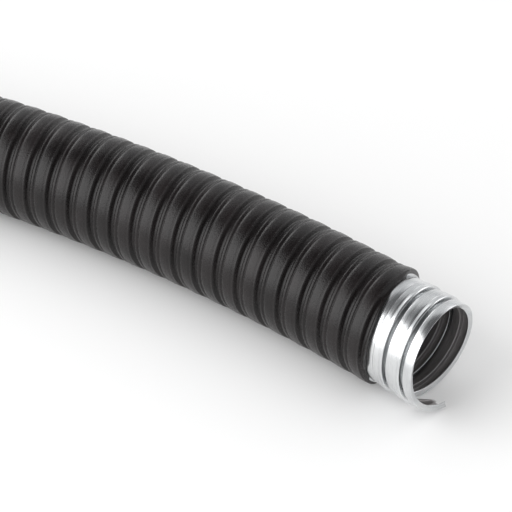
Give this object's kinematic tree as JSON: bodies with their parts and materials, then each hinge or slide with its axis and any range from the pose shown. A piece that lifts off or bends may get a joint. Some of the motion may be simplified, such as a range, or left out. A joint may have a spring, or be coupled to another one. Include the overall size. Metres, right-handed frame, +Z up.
{
  "type": "flexible metal conduit",
  "caption": "Length of flexible conduit: helically wound, interlocked galvanised steel strip under a ribbed black plastic jacket, stripped back at one end.",
  "frame": {"origin": "middle of the bounding box in plan, on the floor that the conduit lies on", "axes": "+X along the chord of the bend toward the stripped end, +Z up, the bend's centre on the -Y side"},
  "size_m": [0.986, 0.124, 0.031],
  "materials": {
    "galvanised_steel": "bright hot-dip galvanised strip, drawn smooth, fine streaks along the strip",
    "black_jacket": "extruded black soft PVC, half gloss with a fine grain"
  },
  "bodies": {
    "root": {"steel_strip": "galvanised_steel", "jacket": "black_jacket"}
  },
  "joints": []
}
